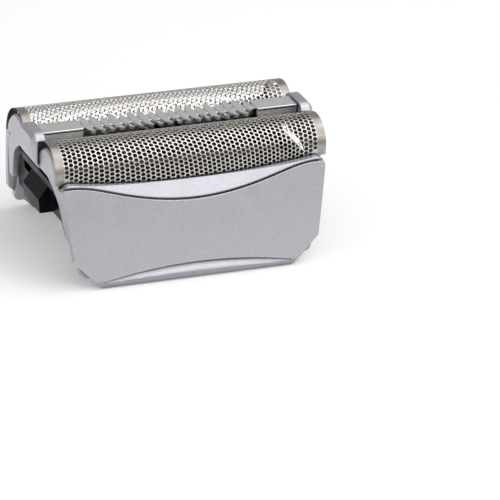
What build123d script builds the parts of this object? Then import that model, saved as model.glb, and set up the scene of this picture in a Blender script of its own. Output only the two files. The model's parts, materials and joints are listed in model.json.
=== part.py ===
from build123d import *
import os
from math import atan2, cos, degrees, radians, sin, tan

# Frame: X runs along the foils, -Y is the front, +Z is up, Z 0 is the foot of the skirts.
# Sizes are in millimetres and angles in degrees. A drop is counted down from the centre of the foils' arch.

# Foils
foil_length = 55.0
foil_radius = 5.2
foil_sheet = 0.2
foil_spacing = 15.74
foil_crown_z = 25.9
foil_float = 0.8
foil_end_drop = 1.1  # where the ends of the sheet stop beside the skirt
foil_step_drop = 1.2  # where the sheet gets shorter to pass between the end walls
foil_leg_drop = 6.1  # where the legs end
arch_turn = 94.0  # from the crown to the straight legs
hole_rows = 7
hole_columns = 17
hole_web = 0.77
hole_border = 2.7  # plain border at each end of the sheet

# Skirts of the outer frame
skirt_gap = 0.35  # between the foil and the lip of the skirt
skirt_wall = 1.25
skirt_foot_wall = 1.9
skirt_spread = 4.75  # how much further out the foot is than the rim
skirt_bow = 0.3
skirt_foot_roll = 0.9
rim_drop = 1.2
rim_dip = 1.25  # middle of the rim below its nominal height
rim_rise = 2.05  # ends of the rim above its middle
rim_inset = 0.65  # ends of the rim inside the ends of the foils
corner_inset = 2.0  # upper end of the cut corner inside the rim's end
corner_run = 5.75  # length of the cut corner along the foot
corner_z = 5.5
rim_round = 1.7
corner_round = 1.5
foot_round = 0.6
blank_margin = 1.5  # how far a blank reaches past the outline cut from it
lip_gap = 0.4  # between the lip of the skirt and the strip under it

# Sloping band between the panel of the skirt and the foil
wave_low_dip = 4.1  # middle of the wave below the rim's nominal height
wave_shoulder_dip = 1.85
wave_crest_rise = 0.1
wave_end_dip = 0.75
wave_crest_share = 0.865  # of the foil's length
wave_shoulder_share = 0.555
band_slope = 36.0
groove_width = 0.42
groove_depth = 0.65

# Finger scoop at the foot
scoop_share = 0.93  # of the foot's length
scoop_rise = 1.7
scoop_top_z = 3.3
scoop_low_z = 1.0
scoop_depth = 0.85
scoop_tilt = 29.0
scoop_undercut = 0.2  # fall of the scoop's upper edge over its depth
scoop_swell = 0.04  # bulge of the scoop's floor

# Backing tabs behind the cut corners
tab_inset = 1.25  # inside the upper end of the cut corner
tab_width = 5.0
tab_low_z = 2.3
tab_high_z = 9.5
tab_thick = 0.7
tab_round = 1.3

# End walls
wall_thick = 1.3
wall_lean = 1.65  # how much the wall leans in between the rim and its foot
wall_foot_drop = 11.9
wall_edge_drop = 1.3
slot_floor_drop = 0.4
slot_gap = 0.2  # between the foil, pushed down, and the end wall under it
leg_inner_out = 4.13  # inner edge of the wall's legs outside the foil's centre line
leg_inner_drop = 5.8
leg_foot_width = 1.7
edge_bend = 2.5  # how far the wall's lower edge curves in from the corner of its bend
lobe_gap = 1.0  # between the crown of the foil and the lobe inside it
lobe_side_gap = 0.35  # between the sides of the foil and the lobe inside it
lobe_clear = 0.4  # between the foil and the centre lobe beside it
lobe_chamfer = 0.4
centre_lobe_width = 7.8
centre_lobe_round = 2.4
centre_lobe_flare = 0.7
centre_lobe_skin = 1.1
centre_lobe_edge = 0.75
centre_lobe_slope_z = 1.5  # above the arch's centre, where the lobe starts to slope in
lobe_skin_gap = 0.2  # between the foil's end and the skin of the centre lobe

# Inner chassis
plate_thick = 1.4
plate_top_drop = 2.5
plate_belly_drop = 10.9
plate_foot_drop = 13.7
plate_leg_inner_out = 2.33  # chassis legs outside the foil's centre line
plate_leg_outer_out = 6.53
plate_shoulder = 3.0  # height of the straight side above the belly
plate_leg_taper = 1.5
rail_width = 1.1
rail_low_drop = 12.7
rail_height = 3.4
bar_out = 0.33
bar_low_drop = 4.8
bar_height = 1.5
bar_proud = 0.9
catch_width = 8.3
catch_lip_height = 2.8
catch_proud = 2.6
peg_radius = 0.75
peg_out = 1.43
peg_drop = 4.25
shelf_thick = 1.2
shelf_margin = 0.85
foil_shelf_drop = 9.3
foil_shelf_width = 5.0
trimmer_shelf_drop = 5.1
sink = 0.5  # how far a feature is set into the plate that carries it

# Foil carriers and edge strips
carrier_wall = 1.0
carrier_end_wall = 1.6
carrier_drop = 7.3
carrier_height = 3.8
carrier_end_gap = 0.6
lug_width = 3.8
lug_height = 1.8
lug_base = 0.2  # underside of the lug above the underside of the carrier
lug_side_gap = 0.2
lug_top_gap = 0.1
lug_low_gap = 0.2
strip_thick = 0.5
strip_drop = 5.9
strip_height = 1.8
strip_inset = 0.8

# Springs
leaf_thick = 0.2
leaf_flat_share = 0.4
foil_leaf_length = 4.6
foil_leaf_width = 1.3
trimmer_leaf_length = 5.2
trimmer_leaf_width = 2.0
leaf_pin_gap = 0.7
blade_leaf_length = 9.0
blade_leaf_width = 1.2

# Trimmer between the foils
trimmer_drop = 0.5  # top of the comb below the crown of the foils
trimmer_float = 1.0
comb_end_gap = 0.2
comb_sheet = 0.7
comb_width = 4.0
comb_spine_width = 1.5
comb_plate_length = 7.8
comb_fold = 1.2
finger_pitch = 1.95
finger_width = 1.25
finger_long = 3.2
finger_short = 2.1
finger_point = 0.7
blade_sheet = 0.5
blade_gap = 0.05
blade_stroke = 1.0
blade_stroke_gap = 0.3
blade_finger_reach = 2.5
bar_end_gap = 0.36
bar_side_gap = 0.67
trimmer_bar_drop = 2.7
trimmer_bar_height = 5.0
post_rise = 0.9  # underside of the end posts above the arch's centre
post_inset = 0.2
guide_pin_width = 1.4
guide_pin_fit = 0.05
guide_pin_inset = 1.0
guide_pin_drop = 7.1
driver_length = 2.8
driver_width = 1.8
driver_drop = 9.2
driver_foot_length = 4.4
driver_fork = 1.2
driver_fork_depth = 3.0
driver_taper = 1.5
driver_side_gap = 0.25

# Places that follow from the sizes above
foil_y = foil_spacing / 2
foil_half = foil_length / 2
arch_z = foil_crown_z - foil_radius
row_angle = 2 * arch_turn / hole_rows
sheet_skew = foil_sheet / cos(radians(row_angle / 2))
leg_outer = foil_radius * sin(radians(arch_turn))
leg_inner = (foil_radius - sheet_skew) * sin(radians(arch_turn))
foil_leg_z = arch_z - foil_leg_drop
foil_step_z = arch_z - foil_step_drop
foil_end_z = arch_z - foil_end_drop
rim_z = arch_z - rim_drop
rim_y = foil_y + foil_radius + skirt_gap + skirt_wall
foot_y = rim_y + skirt_spread
rim_middle_z = rim_z - rim_dip
rim_end_z = rim_middle_z + rim_rise
rim_half = foil_half - rim_inset
corner_half = rim_half - corner_inset
foot_half = corner_half - corner_run
blank_z = rim_end_z + blank_margin
blank_half = foil_half + lobe_skin_gap + centre_lobe_skin + blank_margin
blank_depth = foot_y + 2 * blank_margin
face_lean = atan2(skirt_spread, rim_z)
wall_foot_z = arch_z - wall_foot_drop
wall_low_z = arch_z - wall_edge_drop
slot_floor_z = arch_z - slot_floor_drop
lobe_height = foil_radius - foil_sheet - lobe_gap
lobe_half_width = foil_radius - foil_sheet - lobe_side_gap
plate_belly_z = arch_z - plate_belly_drop
plate_foot_z = arch_z - plate_foot_drop
plate_leg_y = foil_y + plate_leg_outer_out
bar_low_z = arch_z - bar_low_drop
bar_half = foil_y + bar_out
foil_shelf_z = arch_z - foil_shelf_drop
trimmer_shelf_z = arch_z - trimmer_shelf_drop
carrier_low_z = arch_z - carrier_drop
lug_low_z = carrier_low_z + lug_base
strip_low_z = arch_z - strip_drop
lip_low_z = strip_low_z + strip_height + lip_gap
comb_low_z = foil_crown_z - trimmer_drop - comb_sheet
comb_half = foil_half - wall_thick - comb_end_gap
comb_inner_half = comb_half - comb_plate_length
finger_count = int((2 * comb_inner_half - finger_width) / finger_pitch) + 1
blade_low_z = comb_low_z - blade_gap - blade_sheet
blade_half = comb_inner_half - blade_stroke - blade_stroke_gap
trimmer_bar_z = arch_z - trimmer_bar_drop
trimmer_bar_top_z = trimmer_bar_z + trimmer_bar_height
trimmer_bar_width = 2 * (foil_y - leg_outer - strip_thick - bar_side_gap)
os.makedirs("parts", exist_ok=True)


def skirt_y(z):
    # straight fall of the skirt's face from the rim to the foot
    return foot_y - skirt_spread * z / rim_z


def wall_x(z):
    # outer face of the leaning end wall
    return rim_half - wall_lean * (rim_z - z) / (rim_z - wall_foot_z)


def plate_outer_x(z):
    # outer face of the chassis plate, which lies against the end wall
    return wall_x(z) - wall_thick


def plate_inner_x(z):
    return plate_outer_x(z) - plate_thick


# Places that follow from the leaning end walls
carrier_half = plate_inner_x(carrier_low_z - foil_float) - carrier_end_gap
foil_step_x = plate_outer_x(foil_step_z - foil_float) - lobe_skin_gap
lug_end_x = carrier_half + plate_thick
foil_leaf_x = carrier_half - carrier_end_wall / 2
trimmer_bar_half = plate_inner_x(trimmer_bar_z - trimmer_float) - bar_end_gap
guide_pin_x = trimmer_bar_half - guide_pin_inset
trimmer_leaf_x = guide_pin_x - guide_pin_width / 2 - leaf_pin_gap - trimmer_leaf_length / 2


def save(part, name):
    part.label = name
    export_step(part, f"parts/{name}.step")


# Outer frame: the centre lobe of one end wall, on the +X side, reaching past the ends of the foils
lobe_root_x = foil_half - wall_thick
lobe_depth = wall_thick + lobe_skin_gap + centre_lobe_skin
with BuildPart() as centre_lobe:
    with BuildSketch(Plane.YZ.offset(lobe_root_x)):
        with BuildLine():
            Polyline((-centre_lobe_width / 2 - centre_lobe_flare, wall_low_z),
                     (-centre_lobe_width / 2, foil_crown_z), (centre_lobe_width / 2, foil_crown_z),
                     (centre_lobe_width / 2 + centre_lobe_flare, wall_low_z), close=True)
        lobe = make_face()
        fillet(lobe.vertices().group_by(Axis.Y)[-1], centre_lobe_round)
    extrude(amount=lobe_depth)
    chamfer(centre_lobe.faces().sort_by(Axis.X)[-1].edges(), centre_lobe_edge)
    # the lower half slopes in to the wall
    with BuildSketch(Plane.XZ):
        with BuildLine():
            Polyline((lobe_root_x + lobe_depth, arch_z + centre_lobe_slope_z), (foil_half, wall_low_z),
                     (lobe_root_x + 2 * lobe_depth, wall_low_z), close=True)
        make_face()
    extrude(amount=centre_lobe_width, both=True, mode=Mode.SUBTRACT)

# Outer frame: the lobe inside the end of the rear foil
with BuildPart() as side_lobe:
    with BuildSketch(Plane.YZ.offset(lobe_root_x)):
        with BuildLine():
            top = ThreePointArc((foil_y - lobe_half_width, arch_z), (foil_y, arch_z + lobe_height),
                                (foil_y + lobe_half_width, arch_z))
            Polyline(top @ 1, (foil_y + lobe_half_width, wall_low_z), (foil_y - lobe_half_width, wall_low_z),
                     top @ 0)
        make_face()
    extrude(amount=wall_thick)
    chamfer(side_lobe.faces().sort_by(Axis.X)[-1].edges(), lobe_chamfer)

# Outer frame: one end wall, a leaning strip with the lobes on top
with BuildPart() as end_wall:
    leg_top = (foil_y + leg_inner_out, arch_z - leg_inner_drop)
    with BuildSketch(Plane.YZ):
        with BuildLine():
            edge = Line((0, wall_low_z), (foil_y - foil_radius / 2, wall_low_z))
            bend_mid = (leg_top[0] - edge_bend, leg_top[1] + edge_bend)
            bend = ThreePointArc(edge @ 1, bend_mid, leg_top)
            shoulder_z = rim_z - rim_round
            Polyline(bend @ 1, (skirt_y(wall_foot_z) - skirt_wall - leg_foot_width, wall_foot_z),
                     (skirt_y(wall_foot_z) - skirt_wall / 2, wall_foot_z),
                     (skirt_y(shoulder_z) - skirt_wall / 2, shoulder_z),
                     (foil_y + lobe_half_width, slot_floor_z), (0, slot_floor_z), edge @ 0)
        base = make_face()
        mirror(base, about=Plane.YZ)
    extrude(amount=blank_half)
    with BuildSketch(Plane.XZ):
        with BuildLine():
            Polyline((wall_x(slot_floor_z), slot_floor_z), (wall_x(0), 0), (plate_outer_x(0), 0),
                     (plate_outer_x(slot_floor_z), slot_floor_z), close=True)
        make_face()
    extrude(amount=blank_depth, both=True, mode=Mode.INTERSECT)
    add(centre_lobe.part)
    with BuildSketch(Plane.YZ.offset(lobe_root_x - wall_thick)):
        with Locations((foil_y, arch_z), (-foil_y, arch_z)):
            Circle(foil_radius + lobe_clear)
        with Locations((0, slot_floor_z - foil_radius)):
            Rectangle(2 * blank_depth, 2 * foil_radius, mode=Mode.SUBTRACT)
    extrude(amount=2 * wall_thick + lobe_skin_gap, mode=Mode.SUBTRACT)
    # slots for the ends of the foils beside the skirts
    slot_low_z = foil_end_z - foil_float - slot_gap
    slot_inner_y = foil_y + lobe_half_width
    slot_width = foil_radius + skirt_gap - lobe_half_width
    with BuildSketch(Plane.YZ):
        with Locations((0, (slot_low_z + slot_floor_z) / 2)):
            with GridLocations(2 * slot_inner_y + slot_width, 1, 2, 1):
                Rectangle(slot_width, slot_floor_z - slot_low_z)
    extrude(amount=blank_half, mode=Mode.SUBTRACT)
    add(side_lobe.part)
    mirror(side_lobe.part, about=Plane.XZ)

# Outer frame: the rounded tab behind the cut corner of the front skirt, on the +X side
with BuildPart() as tab:
    with BuildSketch(Plane.XZ):
        with Locations((corner_half - tab_inset - tab_width / 2, (tab_low_z + tab_high_z) / 2)):
            plate = Rectangle(tab_width, tab_high_z - tab_low_z)
        fillet(plate.vertices().group_by(Axis.Y)[0].sort_by(Axis.X)[-1], tab_round)
    extrude(amount=blank_depth)
    with BuildSketch(Plane.YZ):
        with BuildLine():
            tab_back = skirt_wall + tab_thick
            Polyline((-skirt_y(0) + skirt_wall / 2, 0), (-skirt_y(rim_z) + skirt_wall / 2, rim_z),
                     (-skirt_y(rim_z) + tab_back, rim_z), (-skirt_y(0) + tab_back, 0), close=True)
        make_face()
    extrude(amount=blank_half, mode=Mode.INTERSECT)

# Outer frame: the front skirt, its mirror image and the end walls
face_plane = Plane((0, -foot_y, 0), x_dir=(1, 0, 0), z_dir=(0, -cos(face_lean), sin(face_lean)))


def wave_points(shift):
    # the wave line on the leaning panel, moved by shift up the panel
    crest = wave_crest_share * foil_half
    shoulder = wave_shoulder_share * foil_half
    half = [(0, -wave_low_dip), (shoulder, -wave_shoulder_dip), (crest, wave_crest_rise),
            (blank_half, -wave_end_dip)]
    places = [(-x, dip) for x, dip in half[:0:-1]] + half
    return [(x, (rim_z + dip) / cos(face_lean) + shift) for x, dip in places]


with BuildPart() as outer_frame:
    with BuildSketch(Plane.YZ):
        with BuildLine():
            middle_z = blank_z / 2
            face = ThreePointArc((-skirt_y(0), 0), (-skirt_y(middle_z) - skirt_bow, middle_z),
                                 (-skirt_y(blank_z), blank_z))
            back = ThreePointArc((-skirt_y(blank_z) + skirt_wall, blank_z),
                                 (-skirt_y(middle_z) - skirt_bow + skirt_wall, middle_z),
                                 (-skirt_y(0) + skirt_foot_wall, 0))
            Line(face @ 1, back @ 0)
            Line(back @ 1, face @ 0)
        section = make_face()
        fillet(section.vertices().sort_by(Axis.X)[0], skirt_foot_roll)
        # lip that reaches in to the foil
        with BuildLine():
            lip_y = rim_y - skirt_wall
            Polyline((-lip_y, rim_end_z), (-lip_y, lip_low_z),
                     (-skirt_y(lip_low_z) + skirt_wall / 2, lip_low_z),
                     (-skirt_y(rim_end_z) + skirt_wall / 2, rim_end_z), close=True)
        make_face()
    extrude(amount=blank_half, both=True)
    # band that slopes in from the wave line, and the groove under it
    with BuildSketch(face_plane):
        with BuildLine():
            wave = Spline(*wave_points(0))
            above = 2 * blank_z
            Polyline(wave @ 1, (blank_half, above), (-blank_half, above), wave @ 0)
        make_face()
    inward = (0, sin(radians(band_slope)), cos(radians(band_slope)))
    extrude(amount=blank_depth / 2, dir=inward, both=True, mode=Mode.SUBTRACT)
    with BuildSketch(face_plane):
        with BuildLine():
            upper = Spline(*wave_points(0))
            lower = Spline(*wave_points(-groove_width))
            Line(upper @ 0, lower @ 0)
            Line(upper @ 1, lower @ 1)
        make_face()
    extrude(amount=groove_depth, both=True, mode=Mode.SUBTRACT)
    with BuildSketch(Plane.XZ):
        with BuildLine():
            side_slope = corner_inset / (rim_z - corner_z)
            rim_end_x = rim_half + side_slope * (rim_end_z - rim_z)
            rim = ThreePointArc((-rim_end_x, rim_end_z), (0, rim_middle_z), (rim_end_x, rim_end_z))
            Polyline(rim @ 1, (corner_half, corner_z), (foot_half, 0), (-foot_half, 0),
                     (-corner_half, corner_z), rim @ 0)
        outline = make_face()
        fillet(outline.vertices().group_by(Axis.Y)[-1], rim_round)
        fillet(outline.vertices().group_by(Axis.Y)[1], corner_round)
        fillet(outline.vertices().group_by(Axis.Y)[0], foot_round)
    extrude(amount=blank_depth, mode=Mode.INTERSECT)
    # finger scoop, turned about an axis that tilts it out of the face towards its ends
    scoop_half = scoop_share * foot_half
    scoop_radius = (scoop_half**2 + scoop_rise**2) / (2 * scoop_rise)
    fall = Vector(0, -sin(radians(scoop_tilt)), -cos(radians(scoop_tilt)))
    scoop_edge = Vector(0, -skirt_y(scoop_top_z) - skirt_bow / 2, scoop_top_z)
    scoop_axis = Axis(scoop_edge + fall * scoop_radius, Vector(0, fall.Z, -fall.Y))
    with BuildSketch(Plane.YZ) as scoop:
        with BuildLine():
            deep = (scoop_edge.Y + scoop_depth, scoop_top_z - scoop_undercut)
            outside = (scoop_edge.Y - scoop_depth, scoop_top_z + scoop_undercut)
            brow = (scoop_edge.Y - 2 * scoop_depth, outside[1])
            lip = (-skirt_y(scoop_low_z) - skirt_bow, scoop_low_z)
            swell = ((deep[0] + lip[0]) / 2 - scoop_swell, (deep[1] + lip[1]) / 2 + scoop_swell)
            ThreePointArc(deep, swell, lip)
            Polyline(lip, (brow[0], scoop_low_z), brow, outside, deep)
        make_face()
    scoop_turn = degrees((scoop_half + blank_margin) / scoop_radius)
    scoop_start = scoop.sketch.rotate(scoop_axis, -scoop_turn)
    revolve(scoop_start, axis=scoop_axis, revolution_arc=2 * scoop_turn, mode=Mode.SUBTRACT)
    add(tab.part)
    mirror(tab.part, about=Plane.YZ)
    mirror(about=Plane.XZ)
    add(end_wall.part)
    mirror(end_wall.part, about=Plane.YZ)
save(outer_frame.part, "outer_frame")

# Inner chassis: one end, on the +X side
with BuildPart() as chassis_end:
    leg_inner_y = foil_y + plate_leg_inner_out
    plate_top_z = arch_z - plate_top_drop
    window_low_z = lug_low_z - foil_float - lug_low_gap
    window_high_z = lug_low_z + lug_height + lug_top_gap
    window_z = (window_low_z + window_high_z) / 2
    with BuildSketch(Plane.YZ):
        with BuildLine():
            Polyline((0, plate_top_z), (bar_half, plate_top_z), (plate_leg_y, plate_belly_z + plate_shoulder),
                     (plate_leg_y, plate_foot_z), (leg_inner_y, plate_foot_z),
                     (leg_inner_y - plate_leg_taper, plate_belly_z), (0, plate_belly_z), (0, plate_top_z))
        half = make_face()
        mirror(half, about=Plane.YZ)
        # windows for the lugs of the foil carriers
        with Locations((foil_y, window_z), (-foil_y, window_z)):
            Rectangle(lug_width + 2 * lug_side_gap, window_high_z - window_low_z, mode=Mode.SUBTRACT)
    extrude(amount=blank_half)
    with BuildSketch(Plane.XZ):
        with BuildLine():
            Polyline((plate_outer_x(rim_z), rim_z), (plate_outer_x(0), 0), (plate_inner_x(0), 0),
                     (plate_inner_x(rim_z), rim_z), close=True)
        make_face()
    extrude(amount=blank_depth, both=True, mode=Mode.INTERSECT)
    # bar under the end wall and the ramped catch below it
    bar_high_z = bar_low_z + bar_height
    with BuildSketch(Plane.XZ):
        with BuildLine():
            Polyline((plate_outer_x(bar_low_z) - sink, bar_low_z),
                     (plate_outer_x(bar_low_z) + bar_proud, bar_low_z),
                     (plate_outer_x(bar_high_z) + bar_proud, bar_high_z),
                     (plate_outer_x(bar_high_z) - sink, bar_high_z), close=True)
        make_face()
    extrude(amount=bar_half, both=True)
    catch_lip_z = plate_belly_z + catch_lip_height
    with BuildSketch(Plane.XZ):
        with BuildLine():
            Polyline((plate_outer_x(bar_low_z) - sink, bar_low_z), (plate_outer_x(bar_low_z), bar_low_z),
                     (plate_outer_x(catch_lip_z) + catch_proud, catch_lip_z),
                     (plate_outer_x(plate_belly_z) + catch_proud, plate_belly_z),
                     (plate_outer_x(plate_belly_z) - sink, plate_belly_z), close=True)
        make_face()
    extrude(amount=catch_width / 2, both=True)
    peg_z = arch_z - peg_drop
    with BuildSketch(Plane.YZ.offset(plate_inner_x(peg_z))):
        with Locations((foil_y + peg_out, peg_z), (-foil_y - peg_out, peg_z)):
            Circle(peg_radius)
    extrude(amount=plate_thick + bar_proud)
    # shelves for the springs
    shelf_end = plate_inner_x(foil_shelf_z) + sink
    shelf_start = foil_leaf_x - foil_leaf_width / 2 - shelf_margin
    with BuildSketch(Plane.XY.offset(foil_shelf_z)):
        with Locations(((shelf_start + shelf_end) / 2, foil_y), ((shelf_start + shelf_end) / 2, -foil_y)):
            Rectangle(shelf_end - shelf_start, foil_shelf_width)
    extrude(amount=-shelf_thick)
    shelf_end = plate_inner_x(trimmer_shelf_z) + sink
    shelf_start = trimmer_leaf_x - trimmer_leaf_length / 2 - shelf_margin
    with BuildSketch(Plane.XY.offset(trimmer_shelf_z)):
        with Locations(((shelf_start + shelf_end) / 2, 0)):
            Rectangle(shelf_end - shelf_start, trimmer_bar_width)
        with Locations((guide_pin_x, 0)):
            guide_hole = guide_pin_width + 2 * guide_pin_fit
            Rectangle(guide_hole, guide_hole, mode=Mode.SUBTRACT)
    extrude(amount=-shelf_thick)

with BuildPart() as inner_chassis:
    rail_low_z = arch_z - rail_low_drop
    with BuildSketch(Plane.YZ):
        with Locations((0, rail_low_z + rail_height / 2)):
            with GridLocations(2 * plate_leg_y - rail_width, 1, 2, 1):
                Rectangle(rail_width, rail_height)
    extrude(amount=plate_inner_x(rail_low_z + rail_height) + sink, both=True)
    add(chassis_end.part)
    mirror(chassis_end.part, about=Plane.YZ)
save(inner_chassis.part, "inner_chassis")


def arch_points(centre_y, radius):
    # fold lines of the arch, from the front leg over the crown to the rear leg
    turns = [radians(row * row_angle - arch_turn) for row in range(hole_rows + 1)]
    return [(centre_y + radius * sin(turn), arch_z + radius * cos(turn)) for turn in turns]


def make_foil(side):
    # sheet folded over the arch in narrow flats, one for each row of holes
    centre_y = side * foil_y
    with BuildPart() as sheet:
        with BuildSketch(Plane.YZ):
            with BuildLine():
                outer = arch_points(centre_y, foil_radius)
                under = arch_points(centre_y, foil_radius - sheet_skew)[::-1]
                Polyline((centre_y - leg_outer, foil_leg_z), *outer, (centre_y + leg_outer, foil_leg_z),
                         (centre_y + leg_inner, foil_leg_z), *under, (centre_y - leg_inner, foil_leg_z),
                         close=True)
            make_face()
        extrude(amount=foil_half, both=True)
        # side outline: the ends reach over the end walls, the legs fit between the chassis plates
        with BuildSketch(Plane.XZ):
            with BuildLine():
                right = Polyline((0, foil_crown_z), (foil_half, foil_crown_z), (foil_half, foil_end_z),
                                 (foil_step_x, foil_end_z), (foil_step_x, foil_step_z),
                                 (carrier_half, foil_step_z), (carrier_half, foil_leg_z), (0, foil_leg_z))
                mirror(right, about=Plane.YZ)
            make_face()
        extrude(amount=blank_depth, both=True, mode=Mode.INTERSECT)
        # beside the trimmer the ends stop above the end walls
        stop_z = slot_floor_z + foil_float + slot_gap
        with BuildSketch(Plane.XZ.offset(-centre_y)):
            with Locations((0, (foil_leg_z + stop_z) / 2)):
                with GridLocations(foil_step_x + foil_half, 1, 2, 1):
                    Rectangle(foil_half - foil_step_x, stop_z - foil_leg_z)
        extrude(amount=side * 2 * foil_radius, mode=Mode.SUBTRACT)
        # six-sided holes in staggered rows
        hole_pitch = (foil_length - 2 * hole_border + hole_web) / hole_columns
        for row in range(hole_rows):
            turn = radians((row + 0.5) * row_angle - arch_turn)
            out = Vector(0, sin(turn), cos(turn))
            row_plane = Plane(Vector(0, centre_y, arch_z) + out * foil_radius, x_dir=(1, 0, 0), z_dir=out)
            with BuildSketch(row_plane):
                with GridLocations(hole_pitch, 1, hole_columns - row % 2, 1):
                    RegularPolygon((hole_pitch - hole_web) / 2, 6)
            extrude(amount=-foil_radius / 4, mode=Mode.SUBTRACT)
    return sheet.part


def make_carrier(centre_y):
    # ring under the foil with a lug at each end
    with BuildPart() as ring:
        with BuildSketch(Plane.XY.offset(carrier_low_z)):
            with Locations((0, centre_y)):
                Rectangle(2 * carrier_half, 2 * leg_inner)
                Rectangle(2 * (carrier_half - carrier_end_wall), 2 * (leg_inner - carrier_wall),
                          mode=Mode.SUBTRACT)
        extrude(amount=carrier_height)
        with BuildSketch(Plane.XY.offset(lug_low_z)):
            with Locations((0, centre_y)):
                Rectangle(2 * lug_end_x, lug_width)
                Rectangle(2 * carrier_half - carrier_end_wall, lug_width, mode=Mode.SUBTRACT)
        extrude(amount=lug_height)
    return ring.part


def make_strip(inner_y, side):
    with BuildPart() as strip:
        with BuildSketch(Plane.XZ.offset(-inner_y)):
            with Locations((0, strip_low_z + strip_height / 2)):
                Rectangle(2 * (carrier_half - strip_inset), strip_height)
        extrude(amount=-side * strip_thick)
    return strip.part


def make_leaf(plane, length, rise, width):
    # strip bent to a flat middle on two sloping feet; the plane's origin is between the feet
    with BuildPart() as leaf:
        flat = length * leaf_flat_share / 2
        slope = atan2(rise, length / 2 - flat)
        foot = length / 2 - leaf_thick / sin(slope)
        bend = foot - (rise - leaf_thick) / tan(slope)
        with BuildSketch(plane):
            Polygon((-length / 2, 0), (-flat, rise), (flat, rise), (length / 2, 0), (foot, 0),
                    (bend, rise - leaf_thick), (-bend, rise - leaf_thick), (-foot, 0), align=None)
        extrude(amount=width / 2, both=True)
    return leaf.part


# Foils with their carriers, edge strips and springs
for name, side in (("front", -1), ("rear", 1)):
    centre_y = side * foil_y
    save(make_foil(side), f"{name}_foil")
    save(make_carrier(centre_y), f"{name}_foil_carrier")
    save(make_strip(centre_y + side * leg_outer, side), f"{name}_foil_outer_strip")
    save(make_strip(centre_y - side * leg_outer, -side), f"{name}_foil_inner_strip")
    for end, end_side in (("left", -1), ("right", 1)):
        leaf_plane = Plane((end_side * foil_leaf_x, centre_y, foil_shelf_z), x_dir=(0, 1, 0), z_dir=(1, 0, 0))
        leaf = make_leaf(leaf_plane, foil_leaf_length, carrier_low_z - foil_shelf_z, foil_leaf_width)
        save(leaf, f"{name}_{end}_foil_spring")


def finger(x, reach):
    # corners of one flat tooth across the trimmer, pointed at both tips
    half, root = finger_width / 2, reach - finger_point
    return (x - half, -root), (x, -reach), (x + half, -root), (x + half, root), (x, reach), (x - half, root)


# Trimmer comb: teeth of two lengths on a spine between two plates with folded sides
finger_pattern = (finger_long, finger_long, finger_short, finger_long, finger_short)
plate_spacing = 2 * comb_half - comb_plate_length
with BuildPart() as trimmer_comb:
    with BuildSketch(Plane.XY.offset(comb_low_z)):
        Rectangle(plate_spacing, comb_spine_width)
        with GridLocations(plate_spacing, 1, 2, 1):
            Rectangle(comb_plate_length, comb_width)
        for index in range(finger_count):
            finger_x = (index - (finger_count - 1) / 2) * finger_pitch
            Polygon(*finger(finger_x, finger_pattern[index % len(finger_pattern)]), align=None)
    extrude(amount=comb_sheet)
    with BuildSketch(Plane.XY.offset(comb_low_z)):
        with GridLocations(plate_spacing, comb_width - comb_sheet, 2, 2):
            Rectangle(comb_plate_length, comb_sheet)
    extrude(amount=-comb_fold)
save(trimmer_comb.part, "trimmer_comb")

# Trimmer blade: even teeth on a spine, sliding under the comb
with BuildPart() as trimmer_blade:
    with BuildSketch(Plane.XY.offset(blade_low_z)):
        Rectangle(2 * blade_half, comb_spine_width)
        blade_count = int((2 * blade_half - finger_width) / finger_pitch) + 1
        for index in range(blade_count):
            finger_x = (index - (blade_count - 1) / 2) * finger_pitch
            Polygon(*finger(finger_x, blade_finger_reach), align=None)
    extrude(amount=blade_sheet)
save(trimmer_blade.part, "trimmer_blade")

# Trimmer carrier: bar with a slot for the driver, posts under the comb plates and two guide pins
with BuildPart() as trimmer_carrier:
    with BuildSketch(Plane.XY.offset(trimmer_bar_z)):
        Rectangle(2 * trimmer_bar_half, trimmer_bar_width)
        Rectangle(driver_length + 2 * (blade_stroke + blade_stroke_gap), driver_width + 2 * driver_side_gap,
                  mode=Mode.SUBTRACT)
    extrude(amount=trimmer_bar_height)
    with BuildSketch(Plane.XY.offset(arch_z + post_rise)):
        with GridLocations(plate_spacing, 1, 2, 1):
            Rectangle(comb_plate_length - 2 * post_inset, comb_width - 2 * comb_sheet)
    extrude(amount=comb_low_z - arch_z - post_rise)
    with BuildSketch(Plane.XY.offset(trimmer_bar_z + sink)):
        with GridLocations(2 * guide_pin_x, 1, 2, 1):
            Rectangle(guide_pin_width, guide_pin_width)
    extrude(amount=trimmer_bar_drop - guide_pin_drop - sink)
save(trimmer_carrier.part, "trimmer_carrier")

# Trimmer driver: yoke under the blade with a fork at its foot
with BuildPart() as trimmer_driver:
    driver_low_z = arch_z - driver_drop
    fork_z = driver_low_z + driver_fork_depth
    with BuildSketch(Plane.XZ):
        with BuildLine():
            right = Polyline((0, blade_low_z), (driver_length / 2, blade_low_z),
                             (driver_length / 2, fork_z + driver_taper), (driver_foot_length / 2, fork_z),
                             (driver_foot_length / 2, driver_low_z), (driver_fork / 2, driver_low_z),
                             (driver_fork / 2, fork_z), (0, fork_z))
            mirror(right, about=Plane.YZ)
        make_face()
    extrude(amount=driver_width / 2, both=True)
save(trimmer_driver.part, "trimmer_driver")

# Springs of the trimmer
for end, end_side in (("left", -1), ("right", 1)):
    leaf_plane = Plane((end_side * trimmer_leaf_x, 0, trimmer_shelf_z), x_dir=(1, 0, 0), z_dir=(0, -1, 0))
    leaf = make_leaf(leaf_plane, trimmer_leaf_length, trimmer_bar_z - trimmer_shelf_z, trimmer_leaf_width)
    save(leaf, f"{end}_trimmer_spring")
    leaf_plane = Plane((end_side * blade_half / 2, 0, trimmer_bar_top_z), x_dir=(1, 0, 0), z_dir=(0, -1, 0))
    blade_leaf_rise = blade_low_z - blade_gap - trimmer_bar_top_z
    leaf = make_leaf(leaf_plane, blade_leaf_length, blade_leaf_rise, blade_leaf_width)
    save(leaf, f"{end}_blade_spring")
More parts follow.
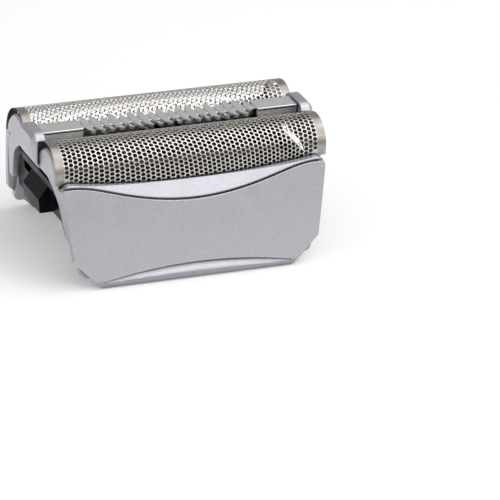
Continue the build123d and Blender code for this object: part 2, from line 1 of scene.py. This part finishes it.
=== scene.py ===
import json
from math import radians
import bpy
import bmesh
import numpy as np
from mathutils import Matrix, Vector


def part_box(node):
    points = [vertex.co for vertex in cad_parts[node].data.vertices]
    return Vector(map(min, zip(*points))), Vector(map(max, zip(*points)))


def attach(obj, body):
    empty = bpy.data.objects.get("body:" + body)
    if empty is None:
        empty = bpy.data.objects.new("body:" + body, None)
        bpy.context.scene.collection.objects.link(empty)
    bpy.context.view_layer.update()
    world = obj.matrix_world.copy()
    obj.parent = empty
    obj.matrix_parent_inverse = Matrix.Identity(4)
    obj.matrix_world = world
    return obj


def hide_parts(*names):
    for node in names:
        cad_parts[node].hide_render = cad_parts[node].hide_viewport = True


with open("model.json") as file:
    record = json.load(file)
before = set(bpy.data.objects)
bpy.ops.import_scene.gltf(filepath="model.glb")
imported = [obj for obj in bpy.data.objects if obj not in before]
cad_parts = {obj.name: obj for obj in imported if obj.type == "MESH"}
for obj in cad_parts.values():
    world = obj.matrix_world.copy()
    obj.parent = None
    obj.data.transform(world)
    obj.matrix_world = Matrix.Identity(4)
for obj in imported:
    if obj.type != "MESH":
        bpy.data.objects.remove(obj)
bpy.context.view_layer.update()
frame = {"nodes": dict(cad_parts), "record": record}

scene = bpy.context.scene
mm = 0.001

# Finishes
noiseSpan = (0.3, 0.7)  # most values of the noise lie between these
bumpDepth = 0.02 * mm
coatRough = 0.15


def newMaterial(name):
    mat = bpy.data.materials.new(name)
    mat.use_nodes = True
    tree = mat.node_tree
    shader = tree.nodes["Principled BSDF"]
    coords = tree.nodes.new("ShaderNodeTexCoord")
    return mat, tree, shader, coords


def noiseOf(tree, coords, scale, detail=2.0, stretch=(1, 1, 1)):
    mapping = tree.nodes.new("ShaderNodeMapping")
    mapping.inputs["Scale"].default_value = stretch
    noise = tree.nodes.new("ShaderNodeTexNoise")
    noise.inputs["Scale"].default_value = scale  # cells per metre
    noise.inputs["Detail"].default_value = detail
    tree.links.new(coords.outputs["Object"], mapping.inputs["Vector"])
    tree.links.new(mapping.outputs["Vector"], noise.inputs["Vector"])
    return noise.outputs["Fac"]


def rampOf(tree, fac, low, high):
    ramp = tree.nodes.new("ShaderNodeValToRGB")
    for element, position, tone in zip(ramp.color_ramp.elements, noiseSpan, (low, high)):
        element.position = position
        element.color = (*tone, 1)
    tree.links.new(fac, ramp.inputs["Fac"])
    return ramp.outputs["Color"]


def rangeOf(tree, fac, low, high):
    spread = tree.nodes.new("ShaderNodeMapRange")
    spread.inputs["From Min"].default_value = noiseSpan[0]
    spread.inputs["From Max"].default_value = noiseSpan[1]
    spread.inputs["To Min"].default_value = low
    spread.inputs["To Max"].default_value = high
    tree.links.new(fac, spread.inputs["Value"])
    return spread.outputs["Result"]


def mathOf(tree, operation, *feeds):
    node = tree.nodes.new("ShaderNodeMath")
    node.operation = operation
    for feed, socket in zip(feeds, node.inputs):
        tree.links.new(feed, socket)
    return node


def paintedShadeZone(tree, coords, tone, zone):
    # painted shade: the tone is multiplied by a darker one, more and more as the distance along one axis
    # nears "to"
    split = tree.nodes.new("ShaderNodeSeparateXYZ")
    tree.links.new(coords.outputs["Object"], split.inputs["Vector"])
    away = mathOf(tree, "ABSOLUTE", split.outputs[zone["axis"]])
    beyond = tree.nodes.new("ShaderNodeMapRange")
    beyond.inputs["From Min"].default_value = zone["from"]
    beyond.inputs["From Max"].default_value = zone["to"]
    tree.links.new(away.outputs["Value"], beyond.inputs["Value"])
    shadeMix = tree.nodes.new("ShaderNodeMix")
    shadeMix.data_type = "RGBA"
    shadeMix.blend_type = "MULTIPLY"
    shadeMix.inputs["B"].default_value = (*zone["shadeTone"], 1)
    tree.links.new(beyond.outputs["Result"], shadeMix.inputs["Factor"])
    tree.links.new(tone, shadeMix.inputs["A"])
    return shadeMix.outputs["Result"]


def paintedCreviceShade(tree, tone, reach):
    # painted shade: narrow grooves and undercuts are darkened where they would lie in shade
    creviceShade = tree.nodes.new("ShaderNodeAmbientOcclusion")
    creviceShade.samples = 8
    creviceShade.only_local = True
    creviceShade.inputs["Distance"].default_value = reach
    tree.links.new(tone, creviceShade.inputs["Color"])
    return creviceShade.outputs["Color"]


def finishOf(name, style):
    mat, tree, shader, coords = newMaterial(name)
    stretch = style.get("stretch", (1, 1, 1))
    grain = noiseOf(tree, coords, style["grain"], stretch=stretch)
    tone = rampOf(tree, grain, style["dark"], style["light"])
    # painted shade: a darker zone along one axis
    if "zone" in style:
        tone = paintedShadeZone(tree, coords, tone, style["zone"])
    # painted shade: darkened grooves and undercuts
    if "creviceShade" in style:
        tone = paintedCreviceShade(tree, tone, style["creviceShade"])
    tree.links.new(tone, shader.inputs["Base Color"])
    patch = noiseOf(tree, coords, style["patch"], detail=3.0, stretch=stretch)
    tree.links.new(rangeOf(tree, patch, *style["rough"]), shader.inputs["Roughness"])
    shader.inputs["Metallic"].default_value = style["metal"]
    shader.inputs["Coat Weight"].default_value = style.get("coat", 0.0)
    shader.inputs["Specular IOR Level"].default_value = style.get("shine", 0.5)
    shader.inputs["Coat Roughness"].default_value = coatRough
    bump = tree.nodes.new("ShaderNodeBump")
    bump.inputs["Strength"].default_value = style["bump"]
    bump.inputs["Distance"].default_value = bumpDepth
    tree.links.new(grain, bump.inputs["Height"])
    if "bevel" in style:
        bevel = tree.nodes.new("ShaderNodeBevel")  # softens hard edges in the shading
        bevel.samples = 6
        bevel.inputs["Radius"].default_value = style["bevel"]
        tree.links.new(bevel.outputs["Normal"], bump.inputs["Normal"])
    tree.links.new(bump.outputs["Normal"], shader.inputs["Normal"])
    return mat


# painted shade: the skirts turn darker towards their lower edge
footShade = {"axis": "Z", "from": 1.9 * mm, "to": 0.2 * mm, "shadeTone": (0.42, 0.42, 0.45)}  # lower edge of the skirts
# painted reflection: the plain sheet beyond the holes gets a darker, warmer tone
foilEnds = {"axis": "X", "from": 25.6 * mm, "to": 25.9 * mm, "shadeTone": (0.56, 0.545, 0.53)}  # beyond the holes
finishes = {
    # the silver paint carries painted shade in its grooves and along the lower edge of the skirts
    "silver_plastic": finishOf("silverPaint", {
        "grain": 5400, "patch": 240, "dark": (0.42, 0.42, 0.462), "light": (0.55, 0.55, 0.592),
        "rough": (0.32, 0.4), "metal": 0.85, "coat": 0.1, "bump": 0.14, "bevel": 0.3 * mm,
        "creviceShade": 1.0 * mm, "zone": footShade}),
    "black_plastic": finishOf("blackPlastic", {
        "grain": 900, "patch": 300, "dark": (0.003, 0.003, 0.005), "light": (0.007, 0.007, 0.011),
        "rough": (0.24, 0.36), "metal": 0.0, "shine": 0.12, "bump": 0.05, "bevel": 0.2 * mm}),
    "carrier_plastic": finishOf("carrierPlastic", {
        "grain": 1500, "patch": 300, "dark": (0.02, 0.02, 0.022), "light": (0.035, 0.035, 0.04),
        "rough": (0.4, 0.55), "metal": 0.0, "bump": 0.1}),
    "foil_nickel": finishOf("foilNickel", {
        "grain": 700, "patch": 160, "dark": (0.54, 0.515, 0.475), "light": (0.7, 0.67, 0.625),
        "rough": (0.26, 0.38), "metal": 1.0, "bump": 0.06, "zone": foilEnds}),
    "trimmer_steel": finishOf("trimmerSteel", {
        "grain": 2600, "patch": 500, "dark": (0.7, 0.7, 0.71), "light": (0.84, 0.84, 0.85),
        "rough": (0.32, 0.42), "metal": 1.0, "bump": 0.1, "stretch": (0.08, 1, 1)}),
    "spring_steel": finishOf("springSteel", {
        "grain": 1800, "patch": 400, "dark": (0.36, 0.36, 0.37), "light": (0.5, 0.5, 0.51),
        "rough": (0.25, 0.35), "metal": 1.0, "bump": 0.08, "stretch": (0.1, 1, 1)}),
}
slots = {row["node"]: row["material_slot"] for row in frame["record"]["subparts"]}
for name, node in frame["nodes"].items():
    node.data.materials.clear()
    node.data.materials.append(finishes[slots[name]])
print("finishes set")


def addPiece(name, mesh, slot, body, node):
    mesh.polygons.foreach_set("use_smooth", np.ones(len(mesh.polygons), bool))
    mesh.materials.clear()
    mesh.materials.append(finishes[slot])
    obj = bpy.data.objects.new(name, mesh)
    scene.collection.objects.link(obj)
    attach(obj, body)
    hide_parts(node)
    return obj


# Mouldings: merged copies with smooth shading and their hard edges kept
moulding = {"merge": 0.002 * mm, "hardAngle": 35}  # points nearer than this become one; degrees


def hardEdges(mesh):
    # an edge is hard where the normals of its two triangles differ by more than the set angle
    edgeOf = np.empty(len(mesh.loops), int)
    mesh.loops.foreach_get("edge_index", edgeOf)
    facing = np.empty((len(mesh.polygons), 3))
    mesh.polygons.foreach_get("normal", facing.ravel())
    order = np.argsort(edgeOf, kind="stable")  # corners that share an edge come one after the other
    edge, face = edgeOf[order], facing[order // 3]  # a triangle has three corners
    bend = (face[1:] * face[:-1]).sum(1)
    hard = (edge[1:] == edge[:-1]) & (bend < np.cos(radians(moulding["hardAngle"])))
    sharp = np.zeros(len(mesh.edges), bool)
    sharp[edge[1:][hard]] = True
    return sharp


def smoothCopy(node, name, body):
    source = bmesh.new()
    source.from_mesh(frame["nodes"][node].data)
    bmesh.ops.remove_doubles(source, verts=source.verts, dist=moulding["merge"])
    mesh = bpy.data.meshes.new(name)
    source.to_mesh(mesh)
    source.free()
    mesh.edges.foreach_set("use_edge_sharp", hardEdges(mesh))
    obj = addPiece(name, mesh, slots[node], body, node)
    evenOut = obj.modifiers.new("evenOut", "WEIGHTED_NORMAL")
    evenOut.keep_sharp = True


smoothCopy("outer_frame", "frameShell", "base")
smoothCopy("inner_chassis", "chassisShell", "base")
print("mouldings smoothed")

# Foils: a sheet bent over an arch with straight legs, pierced by staggered six-sided holes
foil = {
    "radius": 5.2 * mm, "archZ": 20.7 * mm,  # the arch, and the height of its centre
    "sheet": 0.07 * mm, "facet": 0.35 * mm,  # thickness, and length of a facet along the section
    "pitch": 0.936 * mm, "step": 0.852 * mm,  # from hole to hole along the foil and along the section
    "columns": 53, "rows": 22,
    "lowColumns": 47, "lowRows": 2,  # columns that go on below the arch, by this many rows on each side
    "holeX": 0.418 * mm, "holeS": 0.372 * mm,  # half widths of a hole
    "round": 0.3,  # form of a hole, 0 for six sides and 1 for an oval
    "lean": -0.2,  # slant of the columns in the middle of the foil
    "stepX": 25.2 * mm, "skirtZ": 19.6 * mm, "trimmerZ": 21.3 * mm,  # start and lower edges of the tips
    "legX": 22.48 * mm,  # half length of the legs
}
foil["quarter"] = foil["radius"] * np.pi / 2
foil["skirtReach"] = foil["quarter"] + foil["archZ"] - foil["skirtZ"]
foil["trimmerReach"] = foil["radius"] * np.arccos((foil["trimmerZ"] - foil["archZ"]) / foil["radius"])
foil["pierced"] = foil["columns"] * foil["pitch"] / 2
foil["lowX"] = foil["lowColumns"] * foil["pitch"] / 2
foil["reach"] = foil["rows"] * foil["step"] / 2
foil["lowReach"] = foil["reach"] + foil["lowRows"] * foil["step"]


def onSheet(x, s, depth, centreY):
    # s is the length along the section from the crown: an arc first, then straight down
    # x leans by a share of s, which falls off with the square of x and ends at the outer columns
    x = x + foil["lean"] * s * np.maximum(1 - (x / foil["lowX"])**2, 0)
    angle = np.clip(s, -foil["quarter"], foil["quarter"]) / foil["radius"]
    drop = np.maximum(np.abs(s) - foil["quarter"], 0)
    radius = foil["radius"] - depth
    point = np.stack([x, centreY + radius * np.sin(angle), foil["archZ"] + radius * np.cos(angle) - drop], -1)
    outward = np.stack([np.zeros_like(x), np.sin(angle), np.cos(angle)], -1)
    along = np.stack([np.zeros_like(x), np.cos(angle), -np.sin(angle)], -1)
    return point, outward, along


def gridFaces(rows, columns, flip):
    # one quad between each point of a grid and its next neighbours
    index = np.arange(rows * columns).reshape(rows, columns)
    quads = np.stack([index[:-1, :-1], index[:-1, 1:], index[1:, 1:], index[1:, :-1]], -1).reshape(-1, 4)
    return quads[:, ::-1] if flip else quads


def sheetPatch(x0, x1, s0, s1, centreY):
    # plain piece of the sheet: outer skin, inner skin and the four cut edges
    columns = 3  # along the foil, where the sheet is straight
    rows = max(2, int(abs(s1 - s0) / foil["facet"]) + 1)
    x, s = np.meshgrid(np.linspace(x0, x1, columns), np.linspace(s0, s1, rows))
    outer, outward, along = onSheet(x, s, 0.0, centreY)
    inner, _, _ = onSheet(x, s, foil["sheet"], centreY)
    parts = [(outer.reshape(-1, 3), outward.reshape(-1, 3), gridFaces(rows, columns, False)),
             (inner.reshape(-1, 3), -outward.reshape(-1, 3), gridFaces(rows, columns, True))]
    side = np.zeros_like(outward)
    side[..., 0] = 1
    for line, facing, flip in ((np.s_[:, 0], -side, True), (np.s_[:, -1], side, False),
                               (np.s_[0, :], -along, False), (np.s_[-1, :], along, True)):
        strip = np.stack([outer[line], inner[line]], 0)
        parts.append((strip.reshape(-1, 3), np.stack([facing[line]] * 2, 0).reshape(-1, 3),
                      gridFaces(2, strip.shape[1], flip)))
    return parts


def piercedField(firstRow, rowCount, firstColumn, columnCount, centreY):
    # each hole sits in an oblong tile; twelve points round the tile meet twelve round the hole
    pitch, step = foil["pitch"], foil["step"]
    tileU = np.array([1, 1, 0.5, 0, -0.5, -1, -1, -1, -0.5, 0, 0.5, 1]) * pitch / 2
    tileV = np.array([0, 1, 1, 1, 1, 1, 0, -1, -1, -1, -1, -1]) * step / 2
    points = len(tileU)
    turn = np.arange(points) * np.pi / 6
    swell = foil["round"] + (1 - foil["round"]) / np.cos(turn % (np.pi / 3) - np.pi / 6)
    holeU, holeV = foil["holeX"] * swell * np.cos(turn), foil["holeS"] * swell * np.sin(turn)
    rowNumbers, columnNumbers = firstRow + np.arange(rowCount), firstColumn + np.arange(columnCount)
    row, column = np.meshgrid(rowNumbers, columnNumbers, indexing="ij")
    shifted = column % 2 == 1  # every other column sits half a step further along the section
    midX = (column - (foil["columns"] - 1) / 2) * pitch
    midS = (row - (foil["rows"] - 1) / 2 + 0.5 * shifted) * step
    keep = ~(shifted & (row == rowNumbers[-1]))
    midX, midS = midX[keep][:, None], midS[keep][:, None]
    ring = np.arange(points)
    after = (ring + 1) % points
    base = (np.arange(len(midX)) * 2 * points)[:, None]
    corners = [base + ring, base + after, base + points + after, base + points + ring]
    skin = np.stack(corners, -1).reshape(-1, 4)
    u = np.concatenate([midX + tileU, midX + holeU], 1)
    v = np.concatenate([midS + tileV, midS + holeV], 1)
    outer, outward, along = onSheet(u, v, 0.0, centreY)
    inner, _, _ = onSheet(u, v, foil["sheet"], centreY)
    facing = -np.sin(turn)[None, :, None] * along[:, points:]
    facing[..., 0] = -np.cos(turn)
    wall = np.concatenate([outer[:, points:], inner[:, points:]], 1).reshape(-1, 3)
    parts = [(outer.reshape(-1, 3), outward.reshape(-1, 3), skin),
             (inner.reshape(-1, 3), -outward.reshape(-1, 3), skin[:, ::-1]),
             (wall, np.concatenate([facing, facing], 1).reshape(-1, 3), skin)]
    # a plain half tile closes both ends of each shifted column
    s0 = (firstRow - foil["rows"] / 2) * step
    s1 = s0 + rowCount * step
    for number in columnNumbers[columnNumbers % 2 == 1]:
        x0 = (number - foil["columns"] / 2) * pitch
        parts += sheetPatch(x0, x0 + pitch, s0, s0 + step / 2, centreY)
        parts += sheetPatch(x0, x0 + pitch, s1 - step / 2, s1, centreY)
    return parts


def joinParts(parts):
    # points, faces and normals of all parts in one list each, with the faces counted on
    starts = np.cumsum([0] + [len(p[0]) for p in parts[:-1]])
    verts = np.concatenate([p[0] for p in parts])
    normals = np.concatenate([p[1] for p in parts])
    faces = np.concatenate([p[2] + start for p, start in zip(parts, starts)])
    return verts, faces, normals


def foilSheet(name, side):
    # pierced arch with one more pierced column in each tip, and plain sheet round it
    low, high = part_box(f"{name}_foil")
    centreY = (low.y + high.y) / 2
    legReach = foil["quarter"] + foil["archZ"] - low.z
    tipStart, tipEnd = sorted((side * foil["skirtReach"], -side * foil["trimmerReach"]))
    tipRow = int(np.ceil(tipStart / foil["step"] + foil["rows"] / 2))  # first row that fits in the tips
    tipRows = int(tipEnd / foil["step"] + foil["rows"] / 2) - tipRow
    wideStart = (tipRow - foil["rows"] / 2) * foil["step"]
    wideEnd = wideStart + tipRows * foil["step"]
    outer = (foil["columns"] - foil["lowColumns"]) // 2  # columns at each end that stop with the arch
    allRows = foil["rows"] + 2 * foil["lowRows"]
    parts = piercedField(-foil["lowRows"], allRows, outer, foil["lowColumns"], centreY)
    for start in (0, foil["columns"] - outer):
        parts += piercedField(0, foil["rows"], start, outer, centreY)
    for start in (-1, foil["columns"]):
        parts += piercedField(tipRow, tipRows, start, 1, centreY)
    for end in (-1, 1):
        border = sorted((end * foil["pierced"], end * foil["stepX"]))
        parts += sheetPatch(*border, -foil["reach"], wideStart, centreY)
        parts += sheetPatch(*border, wideEnd, foil["reach"], centreY)
        tip = sorted((end * foil["stepX"], end * high.x))
        parts += sheetPatch(*tip, tipStart, wideStart, centreY)
        parts += sheetPatch(*tip, wideEnd, tipEnd, centreY)
        rim = sorted((end * (foil["pierced"] + foil["pitch"]), end * high.x))
        parts += sheetPatch(*rim, wideStart, wideEnd, centreY)
        shoulder = sorted((end * foil["reach"], end * foil["lowReach"]))
        parts += sheetPatch(-foil["legX"], -foil["lowX"], *shoulder, centreY)
        parts += sheetPatch(foil["lowX"], foil["legX"], *shoulder, centreY)
        leg = sorted((end * foil["lowReach"], end * legReach))
        parts += sheetPatch(-foil["legX"], foil["legX"], *leg, centreY)
    verts, faces, normals = joinParts(parts)
    mesh = bpy.data.meshes.new(f"{name}FoilSheet")
    mesh.from_pydata(verts, [], faces)
    addPiece(f"{name}FoilSheet", mesh, "foil_nickel", f"{name}_foil_unit", f"{name}_foil")
    mesh.normals_split_custom_set_from_vertices(normals)


foilSheet("front", -1)
foilSheet("rear", 1)
print("foils pierced")

# Trimmer comb: leaf-shaped bars across a spine, between two plates with folded sides
comb = {
    "sheet": 0.7 * mm, "round": 0.16 * mm,  # thickness, and rounding of the spine and the plates
    "spine": 1.5 * mm, "dip": 0.35 * mm,  # width of the spine, and its depth below the bars
    "tuck": 1.0 * mm,  # reach of the spine into the plates
    "plate": 7.8 * mm, "width": 4.0 * mm, "fold": 1.2 * mm,  # length, width and folded side of a plate
    "close": 0.4 * mm,  # length added to a plate at its inner end
    "pitch": 1.95 * mm, "bar": 1.4 * mm, "tip": 1.7 * mm,  # spacing, width and pointed length of the bars
    "reaches": np.array([3.2, 3.2, 2.1, 3.2, 2.1]) * mm,  # half lengths of the bars, in turn
    "thin": 0.35, "end": 0.98,  # share of the depth left at a tip, and where the parabola is cut off
    "square": 0.45,  # power that squares up the round section
    "rings": 8, "points": 20,  # rings on each half of a bar, and points on each ring
}


def closeLoops(rings):
    # skin over a stack of closed rings, with a flat cap of quads on the first and the last ring
    count, size = rings.shape[:2]
    index = np.arange(count * size).reshape(count, size)
    after = np.roll(index, -1, 1)
    skin = np.stack([index[:-1], after[:-1], after[1:], index[1:]], -1).reshape(-1, 4)
    step = np.arange(size // 2 - 1)
    cap = np.stack([step, step + 1, size - 2 - step, size - 1 - step], -1)
    faces = np.concatenate([skin, cap[:, ::-1], cap + index[-1, 0]])
    return rings.reshape(-1, 3), np.zeros((count * size, 3)), faces


def roundBox(low, high, turns=6):
    # a small ball whose eight parts are moved apart to the corners of the box
    around = (np.arange(4 * turns) + 0.5) * np.pi / (2 * turns)
    rise = np.linspace(-1, 1, 2 * turns + 2)[1:-1] * np.pi / 2
    rise, around = np.meshgrid(rise, around, indexing="ij")
    ball = np.stack([np.cos(rise) * np.cos(around), np.cos(rise) * np.sin(around), np.sin(rise)], -1)
    half, middle = (np.array(high) - np.array(low)) / 2, (np.array(high) + np.array(low)) / 2
    return closeLoops(middle + np.sign(ball) * (half - comb["round"]) + comb["round"] * ball)


def combBar(x, reach, low, top):
    # flat-topped section whose width and depth shrink along a parabola towards both tips
    outwards = np.linspace(0, comb["end"], comb["rings"])
    along = np.concatenate([-outwards[::-1], outwards])
    y = np.sign(along) * (reach - comb["tip"]) + along * comb["tip"]
    shrink = 1 - along**2
    turn = (np.arange(comb["points"]) + 0.5) * 2 * np.pi / comb["points"]
    across = np.sign(np.cos(turn)) * np.abs(np.cos(turn)) ** comb["square"]
    height = np.sign(np.sin(turn)) * np.abs(np.sin(turn)) ** comb["square"]
    depth = (comb["thin"] + (1 - comb["thin"]) * shrink) * (top - low)
    rings = np.zeros((len(y), len(turn), 3))
    rings[..., 0] = x + shrink[:, None] * across * comb["bar"] / 2
    rings[..., 1] = y[:, None]
    rings[..., 2] = top - depth[:, None] * (1 - height) / 2
    verts, normals, faces = closeLoops(rings)
    return verts, normals, faces[:, ::-1]


def trimmerComb():
    # spine first, then the bars, then the two plates with their folds
    _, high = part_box("trimmer_comb")
    under, innerX, halfWidth = high.z - comb["sheet"], high.x - comb["plate"], comb["width"] / 2
    spineEnd = np.array([innerX + comb["tuck"], comb["spine"] / 2, 0])
    parts = [roundBox((0, 0, under) - spineEnd, (0, 0, high.z - comb["dip"]) + spineEnd)]
    count = int((2 * innerX - comb["bar"]) / comb["pitch"]) + 1
    for number in range(count):
        barX = (number - (count - 1) / 2) * comb["pitch"]
        parts.append(combBar(barX, comb["reaches"][number % len(comb["reaches"])], under, high.z))
    for side in (-1, 1):
        x0, x1 = sorted((side * (innerX - comb["close"]), side * high.x))
        parts.append(roundBox((x0, -halfWidth, under), (x1, halfWidth, high.z)))
        for edge in (-1, 1):
            y0, y1 = sorted((edge * halfWidth, edge * (halfWidth - comb["sheet"])))
            parts.append(roundBox((x0, y0, under - comb["fold"]), (x1, y1, high.z - comb["round"])))
    verts, faces, _ = joinParts(parts)
    mesh = bpy.data.meshes.new("steelComb")
    mesh.from_pydata(verts, [], faces)
    steelComb = addPiece("steelComb", mesh, "trimmer_steel", "trimmer_unit", "trimmer_comb")
    steelComb.modifiers.new("evenOut", "WEIGHTED_NORMAL")


trimmerComb()
print("trimmer comb shaped")

# Floor: pale, and lifted to white where the camera, a reflection or a see-through surface shows it
paleFloor = {"dark": (0.9, 0.9, 0.9), "light": (0.94, 0.94, 0.94), "patch": 3.0, "rough": 0.9, "shine": 0.1,
             "lift": 0.2, "half": 2.0}
floorMat, tree, shader, coords = newMaterial("paleFloor")
floorTone = rampOf(tree, noiseOf(tree, coords, paleFloor["patch"]), paleFloor["dark"], paleFloor["light"])
tree.links.new(floorTone, shader.inputs["Base Color"])
shader.inputs["Roughness"].default_value = paleFloor["rough"]
shader.inputs["Specular IOR Level"].default_value = paleFloor["shine"]
shader.inputs["Emission Color"].default_value = (1, 1, 1, 1)
rays = tree.nodes.new("ShaderNodeLightPath")
seen = mathOf(tree, "MAXIMUM", rays.outputs["Is Camera Ray"], rays.outputs["Is Glossy Ray"])
through = mathOf(tree, "MAXIMUM", seen.outputs["Value"], rays.outputs["Is Transmission Ray"])
lift = mathOf(tree, "MULTIPLY", through.outputs["Value"])
lift.inputs[1].default_value = paleFloor["lift"]
tree.links.new(lift.outputs["Value"], shader.inputs["Emission Strength"])
corners = np.array([(-1, -1, 0), (1, -1, 0), (1, 1, 0), (-1, 1, 0)]) * paleFloor["half"]
floorMesh = bpy.data.meshes.new("floor")
floorMesh.from_pydata(corners, [], [(0, 1, 2, 3)])
floorMesh.materials.append(floorMat)
floor = bpy.data.objects.new("floor", floorMesh)
scene.collection.objects.link(floor)

# Light: an even white surround and four soft boxes that face the head
studio = {
    "surround": 0.5, "target": (0, 0, 0.012),
    "keyLight": {"place": (0.13, -0.33, 0.46), "size": (0.8, 0.5), "watts": 1.5},
    "lowLight": {"place": (0.17, -0.36, 0.19), "size": (0.27, 0.16), "watts": 0.12},
    "topLight": {"place": (0.2, 0.02, 0.5), "size": (0.4, 0.3), "watts": 0.45},
    "sideLight": {"place": (-0.4, -0.15, 0.25), "size": (0.3, 0.3), "watts": 0.15},
}
world = bpy.data.worlds.new("studio")
scene.world = world
world.use_nodes = True
world.node_tree.nodes["Background"].inputs["Color"].default_value = (1, 1, 1, 1)
world.node_tree.nodes["Background"].inputs["Strength"].default_value = studio["surround"]


def softBox(name):
    data = bpy.data.lights.new(name, "AREA")
    data.shape = "RECTANGLE"
    data.size, data.size_y = studio[name]["size"]
    data.energy = studio[name]["watts"]
    lamp = bpy.data.objects.new(name, data)
    scene.collection.objects.link(lamp)
    lamp.location = studio[name]["place"]
    aim = Vector(studio["target"]) - Vector(studio[name]["place"])
    lamp.rotation_euler = aim.to_track_quat("-Z", "Y").to_euler()


softBox("keyLight")
softBox("lowLight")
softBox("topLight")
softBox("sideLight")

# Camera: its place comes from a fit of the head's corners to the picture
shot = {
    "turn": 25.21, "rise": 25.94, "roll": 4.38,  # degrees
    "distance": 0.854109, "right": -0.015943, "up": 0.02155, "aimZ": 0.0207,  # metres
    "lens": 323.87, "sensor": 36,  # millimetres
    "farthest": 10,  # metres that the camera sees
}
turn, rise, roll = (radians(shot[k]) for k in ("turn", "rise", "roll"))
forward = Vector((np.sin(turn) * np.cos(rise), np.cos(turn) * np.cos(rise), -np.sin(rise)))
level = Vector((np.cos(turn), -np.sin(turn), 0))
upright = level.cross(forward)
right = level * np.cos(roll) + upright * np.sin(roll)
above = upright * np.cos(roll) - level * np.sin(roll)
place = Vector((0, 0, shot["aimZ"])) - forward * shot["distance"] - right * shot["right"] - above * shot["up"]
camera = bpy.data.objects.new("camera", bpy.data.cameras.new("camera"))
camera.data.lens = shot["lens"]
camera.data.sensor_width = shot["sensor"]
camera.data.clip_end = shot["farthest"]
scene.collection.objects.link(camera)
camera.matrix_world = Matrix((right, above, -forward)).transposed().to_4x4()
camera.location = place
scene.camera = camera
scene.view_settings.view_transform = "Standard"
print("stage set")
